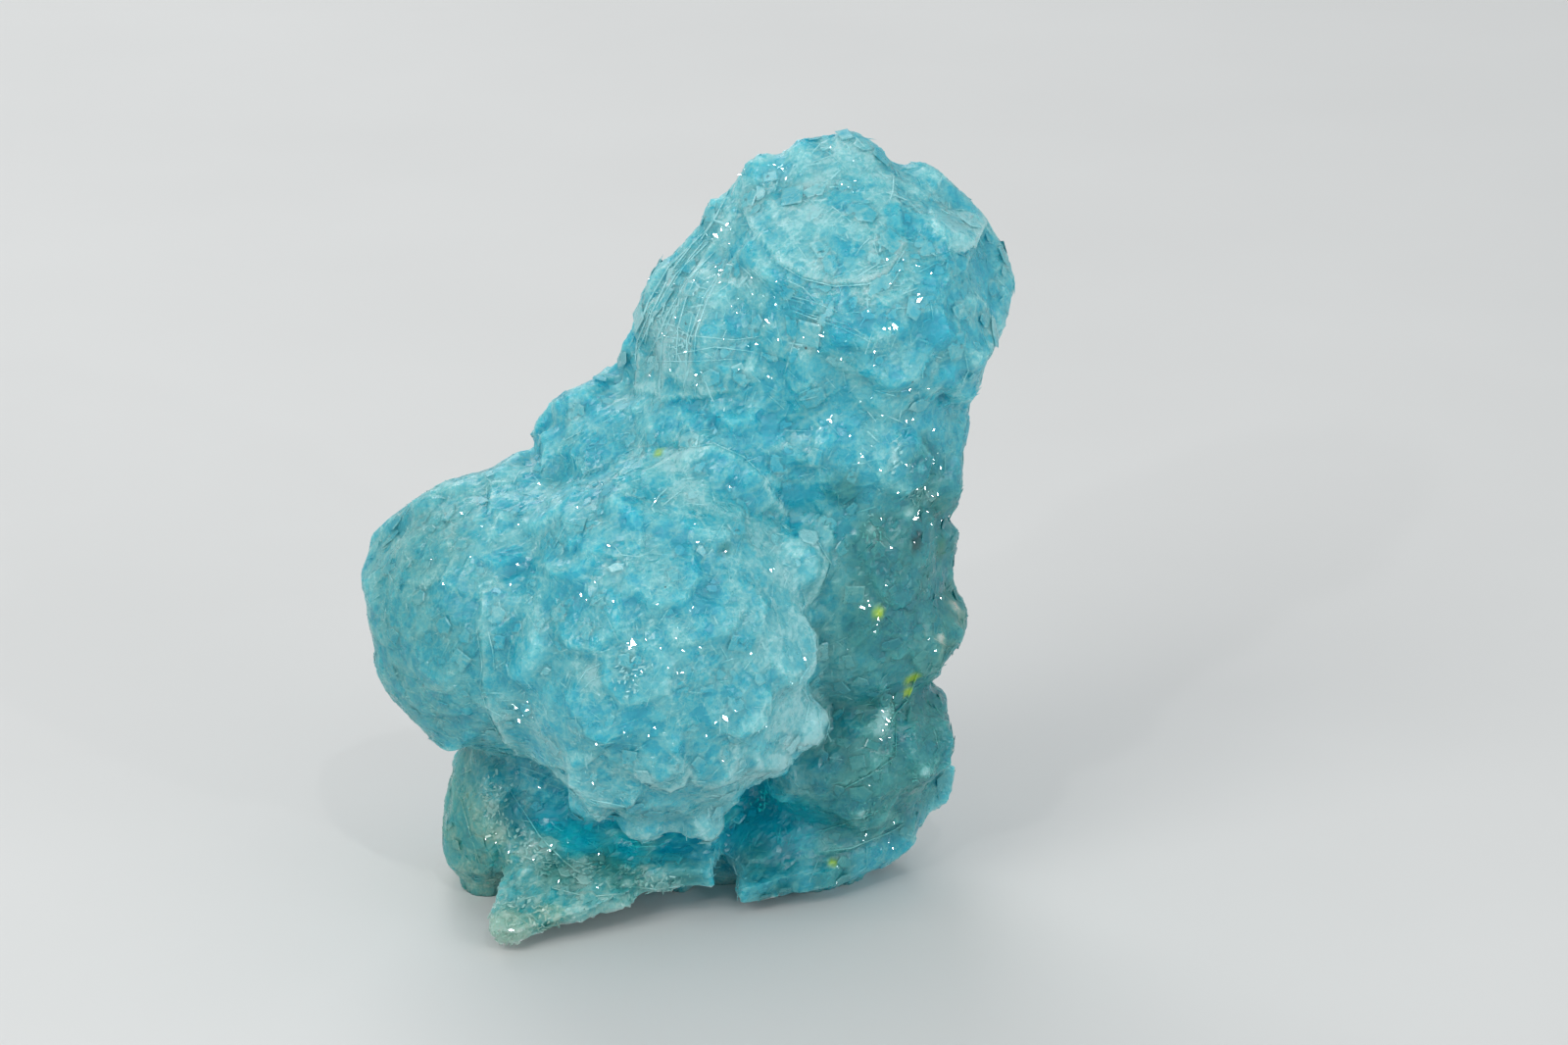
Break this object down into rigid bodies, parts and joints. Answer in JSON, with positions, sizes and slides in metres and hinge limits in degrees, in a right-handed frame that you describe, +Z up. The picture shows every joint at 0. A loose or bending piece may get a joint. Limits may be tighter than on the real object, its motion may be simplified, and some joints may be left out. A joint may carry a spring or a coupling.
{
  "type": "hemimorphite specimen",
  "caption": "Botryoidal blue hemimorphite: overlapping rounded lobes covered in leaning crystal scales, on a thin broken skirt of the same mineral.",
  "frame": {"origin": "bottom centre of the specimen's box, on the surface it rests on", "axes": "+Z up along the tallest way through the specimen; -Y is the side with the large middle lobe, +X the side that the upper lobe leans to"},
  "size_m": [0.0338, 0.0252, 0.0405],
  "materials": {
    "blue_crystal": "translucent vitreous sky-blue crystal, paler along crystal edges"
  },
  "bodies": {
    "root": {"hemimorphite": "blue_crystal"}
  },
  "joints": []
}
